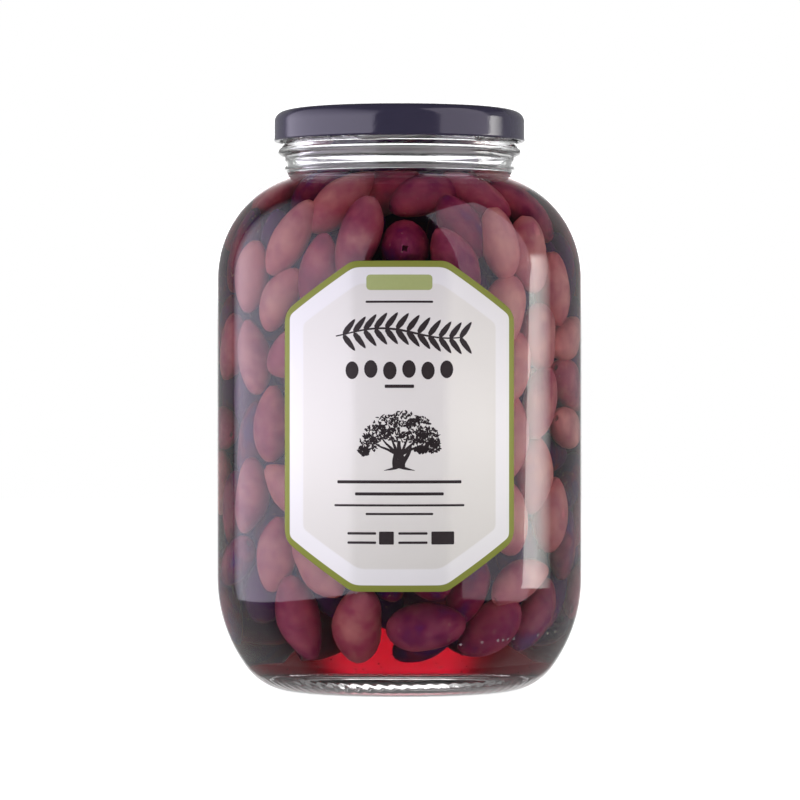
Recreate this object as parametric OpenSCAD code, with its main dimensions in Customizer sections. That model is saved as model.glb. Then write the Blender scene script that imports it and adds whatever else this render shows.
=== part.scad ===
// Catering jar of pitted olives: a glass jar with a lug cap, its filling and its paper label.
// Millimetres, +Z up, the origin at the middle of the bearing ring that the jar stands on.
// The label faces -Y.

/* [Glass body] */
// Diameter of the straight body
body_d = 122.8; // [100:0.1:150]
// Height of the glass from the bearing ring to the sealing rim
jar_h = 195.3; // [160:0.1:240]
// Thickness of the body wall
wall = 3.2; // [2:0.1:4]
// Radius of the arc that turns the body in towards the base
heel_r = 50.6; // [40:0.1:55]
// Height at which the heel arc meets the straight body
heel_z = 38; // [32:0.5:45]
// Radius of the arc between the heel and the bearing ring
chime_r = 20; // [10:0.5:24]
// Radius of the arc that turns the body in towards the neck
shoulder_r = 36.7; // [30:0.1:42]
// Thickness of the glass at the edge of the inside floor
base_t = 8.6; // [5:0.1:10]
// Radius of the inside corner between the floor and the heel
inner_corner_r = 8; // [4:0.5:12]
// Width of the flat bearing ring
bearing_w = 3; // [2:0.5:5]
// Height of the push-up in the middle of the underside
push_up = 3.2; // [1:0.1:6]

/* [Neck] */
// Outside diameter of the finish under the cap
finish_d = 78.2; // [60:0.1:94]
// How far the plain band above the shoulder stands back from the finish
neck_in = 0.4; // [0:0.1:0.8]
// Thickness of the neck wall
neck_wall = 2.6; // [2:0.1:3.5]
// Height from the sealing rim down to the middle of the shoulder groove
neck_h = 21.1; // [18:0.1:28]
// Radius of the groove where the shoulder meets the neck
groove_r = 1.2; // [0.8:0.1:1.6]
// How far the groove cuts in behind the neck band
groove_in = 0.7; // [0.3:0.1:0.9]
// How far the transfer bead stands out from the finish
bead_out = 1.9; // [1:0.1:2.5]
// Height from the sealing rim down to the middle of the transfer bead
bead_drop = 13.7; // [12:0.1:16]
// Radius of the transfer bead's rounded edge
bead_r = 1.3; // [0.8:0.1:1.8]

/* [Thread] */
// Number of thread ridges, and of lugs in the cap
lugs = 6; // [3:1:8]
// How far a ridge stands out from the finish
ridge_out = 1.3; // [0.8:0.1:1.8]
// Height of a ridge
ridge_h = 2.4; // [1.6:0.1:3]
// Angle round the neck that one ridge covers
ridge_sweep = 62; // [30:1:70]
// Slope of the ridges
ridge_slope = 5.66; // [2:0.1:8]
// Height from the sealing rim down to the middle of a ridge
ridge_drop = 8.7; // [7:0.1:10]
// Angle from the middle of the label to the low end of the first ridge
ridge_start = -20; // [-60:1:60]

/* [Cap] */
// Gap between the thread ridges and the hem of the cap
cap_clear = 0.35; // [0.2:0.05:0.8]
// Thickness of the steel sheet
sheet = 0.3; // [0.2:0.05:0.5]
// Gap between the top of a lug and the ridge above it
lug_clear = 0.1; // [0.05:0.05:0.5]
// Radius of the cap's rounded upper edge
cap_edge_r = 4; // [2:0.1:5]
// Thickness of the rolled hem
hem_d = 1.6; // [1.2:0.1:2]
// Depth of the panel below the sealing channel
panel_drop = 0.9; // [0.4:0.1:2]
// Gap between the panel's step and the mouth of the jar
panel_clear = 0.7; // [0.4:0.1:2]
// How far a lug of the cap reaches in past the hem
lug_in = 0.9; // [0.5:0.1:1.1]
// Angle round the cap that one lug covers
lug_sweep = 11; // [6:1:14]
// Angle from the low end of a ridge back to the end of the lug beside it
lug_gap = 1; // [0.5:0.5:4]

/* [Filling] */
// Height from the sealing rim down to the surface of the brine
brine_drop = 21.6; // [18:0.1:40]
// Radius of an olive's rounded end where it breaks the surface
olive_r = 8.5; // [6:0.5:11]
// How far the highest olives stand out of the brine
olive_out = 2.2; // [0:0.1:4]

/* [Label] */
// Width of the label, measured round the jar
label_w = 80.4; // [60:0.1:110]
// How far the label reaches up past the straight body
label_over = 3.8; // [-20:0.1:4]
// How far the label reaches down past the straight body
label_under = 2.3; // [-20:0.1:4]
// Thickness of the paper
paper = 0.12; // [0.08:0.01:0.3]
// Width that each cut corner takes off the label, measured round the jar
corner_w = 24.6; // [10:0.1:30]
// Height that each cut corner takes off the label
corner_h = 16.4; // [8:0.1:30]

/* [Hidden] */
$fn = 96;

// Largest turn between two points of a wide arc, and of a small rounding, in degrees
arc_step = 5;
edge_step = 15;
// Angle of the label's middle, seen from above
front = -90;

body_r = body_d / 2;
inside_r = body_r - wall;
finish_r = finish_d / 2;
neck_r = finish_r - neck_in;
mouth_r = neck_r - neck_wall;

// The heel: its centre, and the chime arc that lies inside it and touches the floor
heel_x = body_r - heel_r;
chime_x = heel_x + sqrt(pow(heel_r - chime_r, 2) - pow(heel_z - chime_r, 2));
chime_a = atan2(heel_z - chime_r, chime_x - heel_x);
bearing_x = chime_x - bearing_w;

// The inside heel runs round the same centre, with a smaller arc to the floor
inner_heel_r = heel_r - wall;
inner_corner_z = base_t + inner_corner_r;
inner_corner_x = heel_x + sqrt(pow(inner_heel_r - inner_corner_r, 2) - pow(heel_z - inner_corner_z, 2));
inner_corner_a = atan2(heel_z - inner_corner_z, inner_corner_x - heel_x);
inner_floor_mid = base_t + push_up * 0.7;

// The shoulder: its centre stands under the groove, which it meets without a corner
groove_x = neck_r - groove_in + groove_r;
groove_z = jar_h - neck_h;
shoulder_x = body_r - shoulder_r;
shoulder_z = groove_z - sqrt(pow(shoulder_r + groove_r, 2) - pow(groove_x - shoulder_x, 2));
groove_low_a = 180 + atan2(groove_z - shoulder_z, groove_x - shoulder_x);
groove_top_a = 180 - acos((groove_r - groove_in) / groove_r);

// The inside shoulder meets the mouth with a small round edge
mouth_edge_r = 3;
mouth_edge_x = mouth_r + mouth_edge_r;
inner_shoulder_r = shoulder_r - wall;
mouth_edge_z = shoulder_z + sqrt(pow(inner_shoulder_r + mouth_edge_r, 2)
    - pow(mouth_edge_x - shoulder_x, 2));
mouth_edge_a = 180 + atan2(mouth_edge_z - shoulder_z, mouth_edge_x - shoulder_x);

bead_z = jar_h - bead_drop;
bead_x = finish_r + bead_out - bead_r;
// Slope height of the bead where it runs back into the neck
bead_skirt = 1.6;
rim_r = (finish_r - mouth_r) / 2;
brine_z = jar_h - brine_drop;
// Step by which some of the highest olives lie deeper than others
uneven = 0.6;

// The cap sits on the rim, and its hem hangs so that each lug comes just under the next ridge
hem_r = hem_d / 2;
lug_h = hem_d - 0.2;
cap_r = finish_r + ridge_out + cap_clear + hem_d;
cap_top = jar_h + sheet;
lug_end = lug_gap + lug_sweep;
ridge_mid_z = jar_h - ridge_drop;
ridge_over_lug = ridge_mid_z - ridge_h / 2
    + finish_r * sin(360 / lugs - lug_end - ridge_sweep / 2) * sin(ridge_slope);
cap_low = ridge_over_lug - lug_clear - hem_r - lug_h / 2;
step_x = mouth_r - panel_clear;

// The label lies on the straight body, between the heel and the shoulder
label_top = shoulder_z + label_over;
label_low = heel_z - label_under;
label_h = label_top - label_low;
label_z = (label_top + label_low) / 2;

// Points of an arc round [x, z], from the first angle to the last
function arc(x, z, r, from, to, step = arc_step) =
    let (n = max(1, ceil(abs(to - from) / step)))
    [for (i = [0:n]) let (a = from + (to - from) * i / n) [x + r * cos(a), z + r * sin(a)]];

// A shallow dome from the radius of its edge to the axis
function dome(edge_x, edge_z, mid_z) =
    let (rise = mid_z - edge_z, r = (edge_x * edge_x + rise * rise) / (2 * rise), a = asin(edge_x / r))
    arc(0, mid_z - r, r, 90 - a, 90);

function reversed(points) = [for (i = [len(points) - 1:-1:0]) points[i]];

// The inside of the glass, from the middle of the floor up to the mouth edge
inner_low = concat(
    reversed(dome(inner_corner_x, base_t, inner_floor_mid)),
    arc(inner_corner_x, inner_corner_z, inner_corner_r, -90, -inner_corner_a),
    arc(heel_x, heel_z, inner_heel_r, -inner_corner_a, 0),
    arc(shoulder_x, shoulder_z, inner_shoulder_r, 0, mouth_edge_a - 180),
    arc(mouth_edge_x, mouth_edge_z, mouth_edge_r, mouth_edge_a, 180)
);

// The outside of the glass, from the sealing rim down to the bearing ring and in under the push-up
outer = concat(
    arc(mouth_r + rim_r, jar_h - rim_r, rim_r, 180, 0, edge_step),
    [[finish_r, bead_z + bead_r + bead_skirt / 2]],
    arc(bead_x, bead_z, bead_r, 60, -60, edge_step),
    [[neck_r, bead_z - bead_r - bead_skirt / 2]],
    arc(groove_x, groove_z, groove_r, groove_top_a, groove_low_a, edge_step),
    arc(shoulder_x, shoulder_z, shoulder_r, groove_low_a - 180, 0),
    arc(heel_x, heel_z, heel_r, 0, -chime_a),
    arc(chime_x, chime_r, chime_r, -chime_a, -90),
    [[bearing_x, 0]],
    dome(bearing_x - 0.6, 0.6, push_up)
);

// One ridge of the thread, tilted about the radius through its middle
module thread_ridge() {
    round_r = ridge_h / 2;
    rotate([ridge_slope, 0, 0])
        rotate([0, 0, -ridge_sweep / 2])
            rotate_extrude(angle = ridge_sweep)
                translate([finish_r + ridge_out - round_r, 0])
                    circle(r = round_r);
}

module jar() {
    color("gainsboro", 0.4) {
        rotate_extrude() polygon(concat(inner_low, outer));
        for (i = [0:lugs - 1])
            rotate([0, 0, front + ridge_start + ridge_sweep / 2 + i * 360 / lugs])
                translate([0, 0, ridge_mid_z])
                    thread_ridge();
    }
}

// Olives in brine, one solid up to the level, with the highest olives breaking the surface
module filling() {
    top_rings = [[0, 1, 0], [14, 5, 20], [mouth_r - olive_r, 10, 5]];
    color("maroon") {
        intersection() {
            rotate_extrude() polygon(concat(inner_low, [[mouth_r, jar_h], [0, jar_h]]));
            cylinder(r = body_r, h = brine_z);
        }
        for (ring = top_rings)
            for (i = [0:ring[1] - 1])
                rotate([0, 0, ring[2] + i * 360 / ring[1]])
                    translate([ring[0], 0, brine_z + olive_out - olive_r - uneven * (i % 3)])
                        sphere(r = olive_r);
    }
}

// The cap's sheet in section: the hem, the skirt, the edge, the sealing channel and the panel
module cap_section() {
    edge_x = cap_r - cap_edge_r;
    edge_z = cap_top - cap_edge_r;
    panel_z = cap_top - panel_drop;
    polygon(concat(
        arc(cap_r - hem_r, cap_low + hem_r, hem_r, acos((hem_r - sheet) / hem_r), 360, edge_step),
        arc(edge_x, edge_z, cap_edge_r, 0, 90),
        [[step_x + panel_drop, cap_top], [step_x, panel_z], [0, panel_z]],
        [[0, panel_z - sheet], [step_x - sheet / 2, panel_z - sheet]],
        [[step_x + panel_drop - sheet / 2, jar_h]],
        arc(edge_x, edge_z, cap_edge_r - sheet, 90, 0)
    ));
}

module cap() {
    color("#4a4958") {
        rotate_extrude() cap_section();
        for (i = [0:lugs - 1])
            rotate([0, 0, front + ridge_start - lug_end + i * 360 / lugs])
                rotate_extrude(angle = lug_sweep)
                    translate([cap_r - hem_d - lug_in, cap_low + hem_r - lug_h / 2])
                        square([lug_in + hem_r, lug_h]);
    }
}

// A label outline unrolled round the jar: u runs round, v runs up, with cut corners
function label_outline() =
    let (u = label_w / 2, v = label_h / 2, n = 8)
    [for (q = [[1, 1, 0], [-1, 1, 1], [-1, -1, 0], [1, -1, 1]])
        for (i = [0:n])
            let (t = q[2] == 0 ? i / n : 1 - i / n)
            [q[0] * (u - corner_w * t), q[1] * (v - corner_h * (1 - t))]];

// The same outline seen along Y, where the paper is wrapped on the body
function wrapped(points) = [for (p = points) [body_r * sin(p[0] / body_r * 180 / PI), p[1]]];

module label() {
    color("whitesmoke")
        intersection() {
            translate([0, 0, label_z - label_h])
                difference() {
                    cylinder(r = body_r + paper, h = 2 * label_h);
                    translate([0, 0, -1]) cylinder(r = body_r, h = 2 * label_h + 2);
                }
            translate([0, 0, label_z])
                rotate([90, 0, 0])
                    linear_extrude(height = body_d)
                        polygon(wrapped(label_outline()));
        }
}

jar();
filling();
cap();
label();
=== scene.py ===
# Catering jar of pitted olives: glass, brine, olives, label and lug cap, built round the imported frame
import bpy
import math
import numpy as np
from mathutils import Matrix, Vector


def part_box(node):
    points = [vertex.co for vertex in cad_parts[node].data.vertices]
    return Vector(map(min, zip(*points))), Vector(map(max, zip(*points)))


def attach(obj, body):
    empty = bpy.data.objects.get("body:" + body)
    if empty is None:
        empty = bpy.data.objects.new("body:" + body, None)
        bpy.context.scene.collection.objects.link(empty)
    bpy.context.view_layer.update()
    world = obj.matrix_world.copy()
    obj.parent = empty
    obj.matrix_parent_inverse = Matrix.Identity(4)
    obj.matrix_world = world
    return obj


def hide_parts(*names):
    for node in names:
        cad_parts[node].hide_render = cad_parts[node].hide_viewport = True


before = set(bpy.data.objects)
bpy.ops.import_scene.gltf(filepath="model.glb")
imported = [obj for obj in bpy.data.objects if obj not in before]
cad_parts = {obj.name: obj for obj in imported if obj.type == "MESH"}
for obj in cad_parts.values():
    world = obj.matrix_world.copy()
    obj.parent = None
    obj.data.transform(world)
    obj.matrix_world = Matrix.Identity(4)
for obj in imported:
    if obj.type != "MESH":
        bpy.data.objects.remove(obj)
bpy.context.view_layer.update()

mm = 0.001
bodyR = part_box("jar")[1].x / mm         # millimetres from here on, as in the construction
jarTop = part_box("jar")[1].z / mm
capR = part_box("cap")[1].x / mm
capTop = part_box("cap")[1].z / mm
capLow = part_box("cap")[0].z / mm
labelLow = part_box("label")[0].z / mm
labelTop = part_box("label")[1].z / mm
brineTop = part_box("filling")[1].z / mm - 2.2

# small tools


def setMode(mode):
    bpy.ops.object.mode_set(mode=mode)


def markAll(action):
    bpy.ops.mesh.select_all(action=action)


def clearSelection():
    if bpy.context.object and bpy.context.object.mode != "OBJECT":
        setMode("OBJECT")
    bpy.ops.object.select_all(action="DESELECT")


def selectOnly(*pieces):
    clearSelection()
    for piece in pieces:
        piece.select_set(True)
    bpy.context.view_layer.objects.active = pieces[0]


def editAll(piece):
    selectOnly(piece)
    setMode("EDIT")
    markAll("SELECT")


def readPoints(piece):
    flat = np.empty(len(piece.data.vertices) * 3)
    piece.data.vertices.foreach_get("co", flat)
    return flat.reshape(-1, 3)


def writePoints(piece, points):
    piece.data.vertices.foreach_set("co", np.ascontiguousarray(points, dtype=float).ravel())
    piece.data.update()


def polar(points):
    # distance from the axis, and azimuth in degrees
    return np.hypot(points[:, 0], points[:, 1]), np.degrees(np.arctan2(points[:, 1], points[:, 0]))


def around(reach, degrees, z):
    return (reach * math.cos(math.radians(degrees)), reach * math.sin(math.radians(degrees)), z)


def outAndAcross(azimuth):
    # unit vectors away from the axis and along the wall, with the azimuth counted from the camera's side
    turn = math.radians(azimuth - 90)
    return np.array([math.cos(turn), math.sin(turn), 0]), np.array([-math.sin(turn), math.cos(turn), 0])


def arc(x, z, r, first, last, step=3.0):
    count = max(1, math.ceil(abs(last - first) / step))
    angles = [math.radians(first + (last - first) * i / count) for i in range(count + 1)]
    return [(x + r * math.cos(a), z + r * math.sin(a)) for a in angles]


def line(start, end, step=0.5):
    count = max(1, math.ceil(math.dist(start, end) / step))
    return [(start[0] + (end[0] - start[0]) * i / count, start[1] + (end[1] - start[1]) * i / count)
            for i in range(1, count)]


def dome(edgeX, edgeZ, midZ, rings=10):
    # from the edge to the axis
    return [(edgeX * (1 - i / rings), midZ + (edgeZ - midZ) * (1 - i / rings) ** 2) for i in range(rings + 1)]


def closeUp():
    # outward normals and smooth shading for all that is selected, and out of edit mode
    bpy.ops.mesh.normals_make_consistent(inside=False)
    bpy.ops.mesh.faces_shade_smooth()
    setMode("OBJECT")


def lathe(name, outline, steps):
    # one point is extruded along the outline and spun round the axis
    clearSelection()
    bpy.ops.mesh.primitive_plane_add(size=mm)
    piece = bpy.context.object
    piece.name = piece.data.name = name
    setMode("EDIT")
    bpy.ops.mesh.select_mode(type="VERT")
    markAll("SELECT")
    bpy.ops.mesh.merge(type="CENTER")
    here = outline[0]
    bpy.ops.transform.translate(value=(here[0] * mm, 0, here[1] * mm))
    for point in outline[1:]:
        step = ((point[0] - here[0]) * mm, 0, (point[1] - here[1]) * mm)
        bpy.ops.mesh.extrude_region_move(TRANSFORM_OT_translate={"value": step})
        here = point
    markAll("SELECT")
    bpy.ops.mesh.spin(steps=steps, angle=2 * math.pi, center=(0, 0, 0), axis=(0, 0, 1))
    markAll("SELECT")
    bpy.ops.mesh.remove_doubles(threshold=0.002 * mm)
    closeUp()
    return piece


def joinAll(pieces, name):
    selectOnly(*pieces)
    bpy.ops.object.join()
    joined = bpy.context.object
    joined.name = joined.data.name = name
    return joined


def copyOf(piece):
    one = piece.copy()
    one.data = piece.data.copy()
    bpy.context.collection.objects.link(one)
    return one


def giveTone(piece, value):
    layer = piece.data.attributes.new("tone", "FLOAT", "POINT")
    layer.data.foreach_set("value", np.full(len(piece.data.vertices), value))


def finishPiece(piece, material, slot, *nodes):
    piece.data.materials.clear()
    piece.data.materials.append(material)
    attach(piece, "root")
    if nodes:
        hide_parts(*nodes)


class Wire:
    # a socket that takes part in plain arithmetic
    def __init__(self, tree, socket):
        self.tree = tree
        self.socket = socket

    def sum(self, operation, *others):
        node = self.tree.nodes.new("ShaderNodeMath")
        node.operation = operation
        for place, value in enumerate((self,) + others):
            if isinstance(value, Wire):
                self.tree.links.new(value.socket, node.inputs[place])
            else:
                node.inputs[place].default_value = value
        return Wire(self.tree, node.outputs[0])

    def __rsub__(self, other):
        return self.sum("MULTIPLY", -1.0).sum("ADD", other)

    def rise(self, low, high):
        # 0 below low, 1 above high, straight between
        share = (self - low) / (high - low)
        return share.sum("MAXIMUM", 0.0).sum("MINIMUM", 1.0)


def arithmetic(operation):
    return lambda wire, *others: wire.sum(operation, *others)


for sign, operation in (("add", "ADD"), ("radd", "ADD"), ("sub", "SUBTRACT"), ("mul", "MULTIPLY"),
                        ("rmul", "MULTIPLY"), ("truediv", "DIVIDE"), ("gt", "GREATER_THAN"),
                        ("lt", "LESS_THAN"), ("abs", "ABSOLUTE")):
    setattr(Wire, f"__{sign}__", arithmetic(operation))


class Finish:
    # a material with one Principled shader
    def __init__(self, name, **fixed):
        self.material = bpy.data.materials.new(name)
        self.material.use_nodes = True
        self.tree = self.material.node_tree
        self.tree.nodes.clear()
        self.output = self.tree.nodes.new("ShaderNodeOutputMaterial")
        self.shader = self.tree.nodes.new("ShaderNodeBsdfPrincipled")
        self.tree.links.new(self.shader.outputs[0], self.output.inputs["Surface"])
        for socket, value in fixed.items():
            self.shader.inputs[socket.replace("_", " ")].default_value = value

    def node(self, kind, settings=None, sockets=None, output=0):
        node = self.tree.nodes.new(kind)
        for key, value in (settings or {}).items():
            if key == "stops":
                while len(node.color_ramp.elements) < len(value):
                    node.color_ramp.elements.new(1.0)
                for element, (place, colour) in zip(node.color_ramp.elements, value):
                    element.position = place
                    element.color = colour if len(colour) == 4 else (*colour, 1)
            else:
                setattr(node, key, value)
        for key, value in (sockets or {}).items():
            if isinstance(value, Wire):
                self.tree.links.new(value.socket, node.inputs[key])
            else:
                node.inputs[key].default_value = value
        return Wire(self.tree, node.outputs[output])

    def place(self):
        return self.node("ShaderNodeTexCoord", output="Object")

    def scaled(self, vector, scale):
        return self.node("ShaderNodeMapping", None, {"Vector": vector, "Scale": scale})

    def split(self, layer):
        # the two parts of a UV layer
        spot = self.node("ShaderNodeUVMap", {"uv_map": layer})
        return [self.node("ShaderNodeSeparateXYZ", None, {0: spot}, output=part) for part in (0, 1)]

    def noise(self, vector, scale, detail=2.0, roughness=0.5, distortion=0.0):
        return self.node("ShaderNodeTexNoise", None, {"Vector": vector, "Scale": scale, "Detail": detail,
                                                      "Roughness": roughness, "Distortion": distortion})

    def mix(self, factor, first, second):
        sockets = {0: factor, 6: first if isinstance(first, Wire) else (*first, 1),
                   7: second if isinstance(second, Wire) else (*second, 1)}
        return self.node("ShaderNodeMix", {"data_type": "RGBA"}, sockets, output=2)

    def feed(self, socket, wire):
        self.tree.links.new(wire.socket, self.shader.inputs[socket])

    def clouded(self, scale, detail, first, second):
        # the base colour drifts between two
        self.feed("Base Color", self.mix(self.noise(self.place(), scale, detail), first, second))

    def bump(self, height, strength, distance):
        self.feed("Normal", self.node("ShaderNodeBump", None,
                                      {"Height": height, "Strength": strength, "Distance": distance}))

    def absorb(self, colour, density):
        node = self.tree.nodes.new("ShaderNodeVolumeAbsorption")
        node.inputs["Color"].default_value = (*colour, 1)
        node.inputs["Density"].default_value = density
        self.tree.links.new(node.outputs[0], self.output.inputs["Volume"])


# glass jar

# millimetres, with sweeps, slopes and turns in degrees; drops are measured down from the rim
glass = dict(wall=3.2, heelR=50.6, heelZ=38, chimeR=20, shoulderR=36.7,
             floor=8.6, cornerR=8, bearing=3, pushUp=3.2, innerPush=0.7,
             finishR=39.1, neckIn=0.4, neckWall=2.6, neckH=21.1, grooveR=1.2, grooveIn=0.7, mouthEdgeR=3,
             beadOut=1.9, beadDrop=13.7, beadR=1.3, beadSkirt=1.6, steps=360,
             ridges=6, ridgeOut=1.3, ridgeH=2.4, ridgeSweep=62, ridgeSlope=5.66,
             ridgeDrop=8.7, ridgeStart=-20, ridgeEnd=4,
             notches=72, notchDepth=0.26, notchLean=1.5, notchH=5.2, wetFrom=9.0)

heelX = bodyR - glass["heelR"]
heelZ = glass["heelZ"]
innerHeelR = glass["heelR"] - glass["wall"]
chimeR = glass["chimeR"]
chimeX = heelX + math.sqrt((glass["heelR"] - chimeR) ** 2 - (heelZ - chimeR) ** 2)
chimeTurn = math.degrees(math.atan2(heelZ - chimeR, chimeX - heelX))
cornerR = glass["cornerR"]
cornerZ = glass["floor"] + cornerR
cornerX = heelX + math.sqrt((innerHeelR - cornerR) ** 2 - (heelZ - cornerZ) ** 2)
cornerTurn = math.degrees(math.atan2(heelZ - cornerZ, cornerX - heelX))
neckR = glass["finishR"] - glass["neckIn"]
mouthR = neckR - glass["neckWall"]
grooveX = neckR - glass["grooveIn"] + glass["grooveR"]
grooveZ = jarTop - glass["neckH"]
shoulderX = bodyR - glass["shoulderR"]
shoulderZ = grooveZ - math.sqrt((glass["shoulderR"] + glass["grooveR"]) ** 2 - (grooveX - shoulderX) ** 2)
grooveLow = 180 + math.degrees(math.atan2(grooveZ - shoulderZ, grooveX - shoulderX))
grooveTop = 180 - math.degrees(math.acos((glass["grooveR"] - glass["grooveIn"]) / glass["grooveR"]))
innerShoulderR = glass["shoulderR"] - glass["wall"]
edgeX = mouthR + glass["mouthEdgeR"]
edgeZ = shoulderZ + math.sqrt((innerShoulderR + glass["mouthEdgeR"]) ** 2 - (edgeX - shoulderX) ** 2)
edgeTurn = math.degrees(math.atan2(edgeZ - shoulderZ, edgeX - shoulderX))
rimR = (glass["finishR"] - mouthR) / 2


def insideOutline(push=0.0):
    # from the middle of the floor up to the mouth edge, pushed out into the wall by so much
    middle = glass["floor"] + glass["pushUp"] * glass["innerPush"] - push
    return (list(reversed(dome(cornerX, glass["floor"] - push, middle)))
            + arc(cornerX, cornerZ, cornerR + push, -90, -cornerTurn, 6)
            + arc(heelX, heelZ, innerHeelR + push, -cornerTurn, 0, 3)[1:]
            + line((bodyR - glass["wall"] + push, heelZ), (bodyR - glass["wall"] + push, shoulderZ), 5)
            + arc(shoulderX, shoulderZ, innerShoulderR + push, 0, edgeTurn, 3)
            + arc(edgeX, edgeZ, glass["mouthEdgeR"] - push, edgeTurn + 180, 180, 12)[1:])


def outsideOutline():
    beadX = glass["finishR"] + glass["beadOut"] - glass["beadR"]
    beadZ = jarTop - glass["beadDrop"]
    beadTop = (glass["finishR"], beadZ + glass["beadR"] + glass["beadSkirt"] / 2)
    beadFoot = (neckR, beadZ - glass["beadR"] - glass["beadSkirt"] / 2)
    bead = arc(beadX, beadZ, glass["beadR"], 60, -60, 12)
    groove = arc(grooveX, grooveZ, glass["grooveR"], grooveTop, grooveLow, 12)
    rim = arc(mouthR + rimR, jarTop - rimR, rimR, 180, 0, 15)
    bearingX = chimeX - glass["bearing"]
    return (line((mouthR, edgeZ), (mouthR, jarTop - rimR), 3) + rim + line(rim[-1], beadTop, 0.3) + [beadTop]
            + line(beadTop, bead[0], 0.4) + bead + [beadFoot] + line(beadFoot, groove[0], 1.5) + groove
            + arc(shoulderX, shoulderZ, glass["shoulderR"], grooveLow - 180, 0, 2.5)[1:]
            + line((bodyR, shoulderZ), (bodyR, heelZ), 5)
            + arc(heelX, heelZ, glass["heelR"], 0, -chimeTurn, 2.5)
            + arc(chimeX, chimeR, chimeR, -chimeTurn, -90, 2)[1:]
            + [(chimeX - 1, 0), (chimeX - 2, 0), (bearingX, 0)]
            + [(bearingX - 0.25, 0.15), (bearingX - 0.6, 0.6)]
            + dome(bearingX - 0.6, 0.6, glass["pushUp"])[1:])


glassJar = lathe("glassJar", insideOutline() + outsideOutline(), glass["steps"])

# the thread ridges and the notched foot are drawn out of the wall
points = readPoints(glassJar) / mm
radius, azimuth = polar(points)
height = points[:, 2]
outerNeck = (height > jarTop - glass["beadDrop"] + 1.5) & (height < jarTop - rimR + 0.2)
outerNeck = outerNeck & (radius > mouthR + 1.9)
push = np.zeros(len(points))
for i in range(glass["ridges"]):
    middle = -90 + glass["ridgeStart"] + glass["ridgeSweep"] / 2 + i * 360 / glass["ridges"]
    turn = (azimuth - middle + 180) % 360 - 180
    ridgeZ = (jarTop - glass["ridgeDrop"]
              + radius * np.sin(np.radians(turn)) * math.sin(math.radians(glass["ridgeSlope"])))
    ends = np.clip((glass["ridgeSweep"] / 2 - np.abs(turn)) / glass["ridgeEnd"], 0, 1)
    half = glass["ridgeH"] / 2 * np.sqrt(np.maximum(ends * (2 - ends), 1e-6))
    bulge = np.sqrt(np.clip(1 - ((height - ridgeZ) / half) ** 2, 0, 1)) * glass["ridgeOut"] * np.sqrt(ends)
    push = np.maximum(push, np.where(outerNeck & (ends > 0), bulge, 0))
foot = (height < glass["notchH"] + 0.4) & (radius > chimeX - 0.1)
climb = np.clip(height / glass["notchH"], 0, 1)
wave = np.cos(np.radians(glass["notches"] * azimuth) + climb * glass["notchLean"] * math.pi)
push = push - np.where(foot, glass["notchDepth"] * np.clip(0.5 + wave, 0, 1.5) / 1.5
                       * np.sin(np.pi * climb) ** 0.6, 0)
points[:, :2] *= (1 + push / np.maximum(radius, 1))[:, None]
writePoints(glassJar, points * mm)

clearGlass = Finish("clearGlass", Transmission_Weight=1.0, IOR=1.5, Roughness=0.0)
wetGlass = Finish("wetGlass", Transmission_Weight=1.0, IOR=1.5, Roughness=0.0,
                  Specular_Tint=(0.04, 0.04, 0.04, 1))
for look in (clearGlass, wetGlass):
    look.clouded(30, 2, (0.975, 0.99, 0.98), (0.99, 1, 0.995))
    look.bump(look.noise(look.scaled(look.place(), (1, 1, 0.45)), 42, 1.0), 0.008, 0.004)
finishPiece(glassJar, clearGlass.material, "glass", "jar")

# below the brine the inner wall hardly reflects, so its faces have a look of their own
glassJar.data.materials.append(wetGlass.material)
innerHeel = heelX + np.sqrt(np.maximum((innerHeelR + 1) ** 2 - (heelZ - height) ** 2, 0))
innerShoulder = shoulderX + np.sqrt(np.maximum((innerShoulderR + 1) ** 2 - (height - shoulderZ) ** 2, 0))
innerAt = np.full(len(points), bodyR - glass["wall"] + 1)
innerAt = np.where(height < heelZ, innerHeel, innerAt)
innerAt = np.where(height > shoulderZ, innerShoulder, innerAt)
wet = (height < brineTop) & (height > glass["wetFrom"]) & (radius < innerAt)
for face in glassJar.data.polygons:
    face.material_index = int(all(wet[corner] for corner in face.vertices))
print("glass", len(glassJar.data.polygons))

# brine

# the meniscus: how far in from the wall, and how high above the level
brineLook = dict(push=0.15, meniscus=((0, 0.7), (0.6, 0.245), (1.4, 0.1), (3, 0)), steps=144,
                 colour=(0.735, 0.0, 0.20), density=58)

inside = [p for p in insideOutline(brineLook["push"]) if p[1] < brineTop - 0.2]
wallX = mouthR + brineLook["push"]
surface = [(wallX - inward, brineTop + above) for inward, above in brineLook["meniscus"]]
surface += line(surface[-1], (0, brineTop), 5) + [(0, brineTop)]
brine = lathe("brine", inside + surface, brineLook["steps"])
redBrine = Finish("redBrine", Transmission_Weight=1.0, IOR=1.34, Roughness=0.0,
                  Specular_Tint=(0.1, 0.1, 0.1, 1))
redBrine.bump(redBrine.noise(redBrine.place(), 60, 1), 0.02, 0.002)
redBrine.absorb(brineLook["colour"], brineLook["density"])
finishPiece(brine, redBrine.material, "filling", "filling")
print("brine", len(brine.data.polygons))

# olives

olive = dict(segments=20, rings=14, midR=6.9, halfLong=12.4, holeDepth=5.0, slitDepth=1.6,
             dimpleDepth=0.8, dents=5)
# each olive is packed as three balls in a row: midR, endR and how far the end ones stand off;
# shy is how far a loose one may keep back from the glass, and the placed ones hardly yield
bed = dict(count=205, seed=5, floor=15.0, backFloor=9.0, top=0.6, coreR=27.0, rounds=360,
           midR=7.1, endR=5.2, reach=6.8, shy=(0.0, 0.0, 0.0, 1.5, 5.0, 8.0), placedYield=0.06,
           press=0.9, ease=0.5, drift=0.003, driftUntil=0.8, turnOut=0.10, returnShare=0.3, lookEvery=12)


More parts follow.
